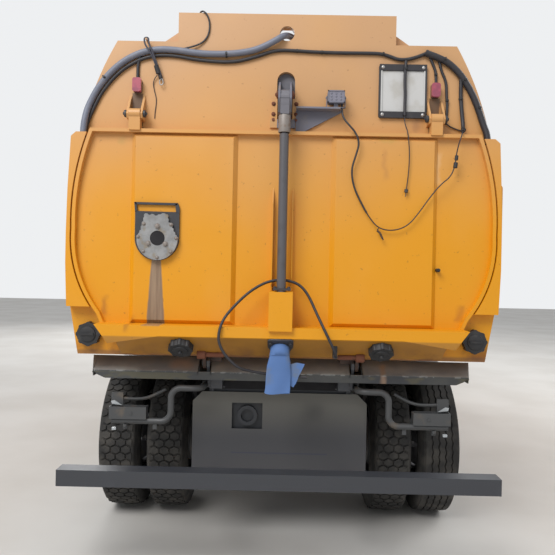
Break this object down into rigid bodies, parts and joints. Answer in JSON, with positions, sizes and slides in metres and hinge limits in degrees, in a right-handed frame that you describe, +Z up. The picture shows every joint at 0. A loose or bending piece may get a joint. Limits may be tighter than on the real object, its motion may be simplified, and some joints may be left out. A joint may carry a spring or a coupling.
{
  "type": "street sweeper truck",
  "caption": "Street sweeper truck with a yellow tipping hopper, top-hinged rear door with ram, suction gear under the frame, twin rear wheels and a forward-control tilting cab.",
  "frame": {"origin": "On the ground below the middle of the truck's bounding box", "axes": "+Y forwards, +X to the truck's right, +Z up"},
  "size_m": [2.57, 6.7, 3.2377],
  "materials": {
    "body_yellow": "semi-gloss",
    "chassis_grey": "satin",
    "valance_grey": "satin",
    "dark_steel": "worn",
    "rusty_steel": "rusty",
    "bare_steel": "scuffed",
    "tyre_rubber": "dusty",
    "rim_paint": "worn",
    "black_plastic": "weathered",
    "red_lens": "glossy",
    "white_board": "scuffed",
    "window_glass": "clear",
    "seat_fabric": "woven",
    "blue_hose": "matte",
    "black_rubber": "matte",
    "brush_bristle": "worn",
    "chrome_rod": "polished",
    "rope_fibre": "twisted"
  },
  "bodies": {
    "root": {"chassis_frame": "chassis_grey", "leaf_springs": "rusty_steel", "front_axle": "rusty_steel", "rear_axle": "rusty_steel", "drive_line": "dark_steel", "side_tanks": "black_plastic", "underrun_bar": "chassis_grey", "tail_shelf": "rusty_steel", "rear_valance": "valance_grey", "tail_lamp_brackets": "chassis_grey", "front_bumper": "body_yellow", "cab_steps": "chassis_grey", "engine_housing": "body_yellow", "suction_tube": "black_rubber"},
    "left_knuckle": {"left_knuckle": "rusty_steel"},
    "right_knuckle": {"right_knuckle": "rusty_steel"},
    "tie_rod": {"tie_rod": "rusty_steel"},
    "front_left_wheel": {"front_left_tyre": "tyre_rubber", "front_left_rim": "rim_paint"},
    "front_right_wheel": {"front_right_tyre": "tyre_rubber", "front_right_rim": "rim_paint"},
    "rear_left_wheels": {"rear_left_tyres": "tyre_rubber", "rear_left_rims": "rim_paint"},
    "rear_right_wheels": {"rear_right_tyres": "tyre_rubber", "rear_right_rims": "rim_paint"},
    "cab": {"cab_shell": "body_yellow", "cab_glass": "window_glass", "cab_interior": "seat_fabric", "cab_mirrors": "black_plastic"},
    "cab_door_left": {"cab_door_left": "body_yellow", "door_glass_left": "window_glass"},
    "cab_door_right": {"cab_door_right": "body_yellow", "door_glass_right": "window_glass"},
    "hopper": {"hopper_shell": "body_yellow", "rear_bulkhead": "body_yellow", "ram_bracket": "dark_steel", "marker_lamps": "red_lens", "number_board": "white_board", "work_lamp": "dark_steel", "corner_caps": "black_plastic", "rear_wiring": "black_rubber", "lamp_cable": "black_rubber", "board_cable": "black_rubber", "tie_rope": "rope_fibre", "tie_string": "rope_fibre"},
    "rear_door": {"rear_door": "body_yellow", "gate_valve": "bare_steel", "tray_caps": "black_plastic", "drain_hose": "blue_hose", "ram_hose": "black_rubber"},
    "door_ram_barrel": {"door_ram_barrel": "dark_steel"},
    "door_ram_rod": {"door_ram_rod": "chrome_rod"},
    "tip_ram_barrel": {"tip_ram_barrel": "dark_steel"},
    "tip_ram_rod": {"tip_ram_rod": "chrome_rod"},
    "suction_nozzle": {"suction_nozzle": "chassis_grey"},
    "brush_arm": {"brush_arm": "chassis_grey"},
    "brush_head": {"brush_head": "dark_steel"},
    "side_brush": {"side_brush": "brush_bristle"},
    "cross_brush_frame": {"cross_brush_frame": "chassis_grey"},
    "cross_brush": {"cross_brush": "brush_bristle"}
  },
  "joints": [
    {"name": "rear_left_wheel_spin", "type": "hinge", "parent": "root", "child": "rear_left_wheels", "pos_m": [-0.925, -2.14, 0.52], "axis": [1, 0, 0], "continuous": true},
    {"name": "rear_right_wheel_spin", "type": "hinge", "parent": "root", "child": "rear_right_wheels", "pos_m": [0.925, -2.14, 0.52], "axis": [1, 0, 0], "continuous": true},
    {"name": "steer_left", "type": "hinge", "parent": "root", "child": "left_knuckle", "pos_m": [-0.85, 1.96, 0.52], "axis": [0, 0, 1], "range_deg": [-35, 35]},
    {"name": "steer_right", "type": "hinge", "parent": "root", "child": "right_knuckle", "pos_m": [0.85, 1.96, 0.52], "axis": [0, 0, 1], "range_deg": [-35, 35]},
    {"name": "tie_rod_swing", "type": "hinge", "parent": "left_knuckle", "child": "tie_rod", "pos_m": [-0.85, 1.78, 0.445], "axis": [0, 0, 1], "range_deg": [-35, 35]},
    {"name": "front_left_wheel_spin", "type": "hinge", "parent": "left_knuckle", "child": "front_left_wheel", "pos_m": [-1.03, 1.96, 0.52], "axis": [1, 0, 0], "continuous": true},
    {"name": "front_right_wheel_spin", "type": "hinge", "parent": "right_knuckle", "child": "front_right_wheel", "pos_m": [1.03, 1.96, 0.52], "axis": [1, 0, 0], "continuous": true},
    {"name": "cab_tilt", "type": "hinge", "parent": "root", "child": "cab", "pos_m": [0, 3.21, 0.8], "axis": [-1, 0, 0], "range_deg": [0, 50]},
    {"name": "cab_door_left_swing", "type": "hinge", "parent": "cab", "child": "cab_door_left", "pos_m": [-1.112, 3.088, 1.5], "axis": [0, 0, -1], "range_deg": [0, 70]},
    {"name": "cab_door_right_swing", "type": "hinge", "parent": "cab", "child": "cab_door_right", "pos_m": [1.112, 3.088, 1.5], "axis": [0, 0, 1], "range_deg": [0, 70]},
    {"name": "hopper_tip", "type": "hinge", "parent": "root", "child": "hopper", "pos_m": [0, -3, 1.165], "axis": [1, 0, 0], "range_deg": [0, 50]},
    {"name": "rear_door_lift", "type": "hinge", "parent": "hopper", "child": "rear_door", "pos_m": [0, -3.19, 2.615], "axis": [-1, 0, 0], "range_deg": [0, 80], "deforming": ["lamp_cable", "board_cable"]},
    {"name": "door_ram_swing", "type": "hinge", "parent": "rear_door", "child": "door_ram_barrel", "pos_m": [-0.005, -3.27, 1.56], "axis": [1, 0, 0], "range_deg": [-3.2, 3.2]},
    {"name": "door_ram_slide", "type": "slide", "parent": "door_ram_barrel", "child": "door_ram_rod", "axis": [0, 0, 1], "range_m": [-0.18, 0]},
    {"name": "tip_ram_swing", "type": "hinge", "parent": "root", "child": "tip_ram_barrel", "pos_m": [0, -2.6, 0.78], "axis": [1, 0, 0], "range_deg": [0, 44.8]},
    {"name": "tip_ram_slide", "type": "slide", "parent": "tip_ram_barrel", "child": "tip_ram_rod", "axis": [0, 0.8256, 0.5642], "range_m": [0, 0.465]},
    {"name": "nozzle_drop", "type": "slide", "parent": "root", "child": "suction_nozzle", "axis": [0, 0, -1], "range_m": [0, 0.18]},
    {"name": "brush_arm_swing", "type": "hinge", "parent": "root", "child": "brush_arm", "pos_m": [-0.56, 0.47, 0.7], "axis": [0, 0, 1], "range_deg": [0, 30]},
    {"name": "brush_drop", "type": "slide", "parent": "brush_arm", "child": "brush_head", "axis": [0, 0, -1], "range_m": [0, 0.24]},
    {"name": "side_brush_spin", "type": "hinge", "parent": "brush_head", "child": "side_brush", "pos_m": [-0.79, 0.85, 0.44], "axis": [0, 0, 1], "continuous": true},
    {"name": "cross_brush_drop", "type": "hinge", "parent": "root", "child": "cross_brush_frame", "pos_m": [0, -0.15, 0.645], "axis": [1, 0, 0], "range_deg": [0, 25]},
    {"name": "cross_brush_spin", "type": "hinge", "parent": "cross_brush_frame", "child": "cross_brush", "pos_m": [0, -0.75, 0.44], "axis": [1, 0, 0], "continuous": true}
  ],
  "couplings": [
    {"joint": "steer_right", "follows": "steer_left", "ratio": 1},
    {"joint": "tie_rod_swing", "follows": "steer_left", "ratio": -1},
    {"joint": "door_ram_swing", "follows": "rear_door_lift", "ratio": 0.04},
    {"joint": "door_ram_slide", "follows": "rear_door_lift", "m_per_rad": -0.115},
    {"joint": "tip_ram_swing", "follows": "hopper_tip", "ratio": 0.896},
    {"joint": "tip_ram_slide", "follows": "hopper_tip", "m_per_rad": 0.529}
  ]
}
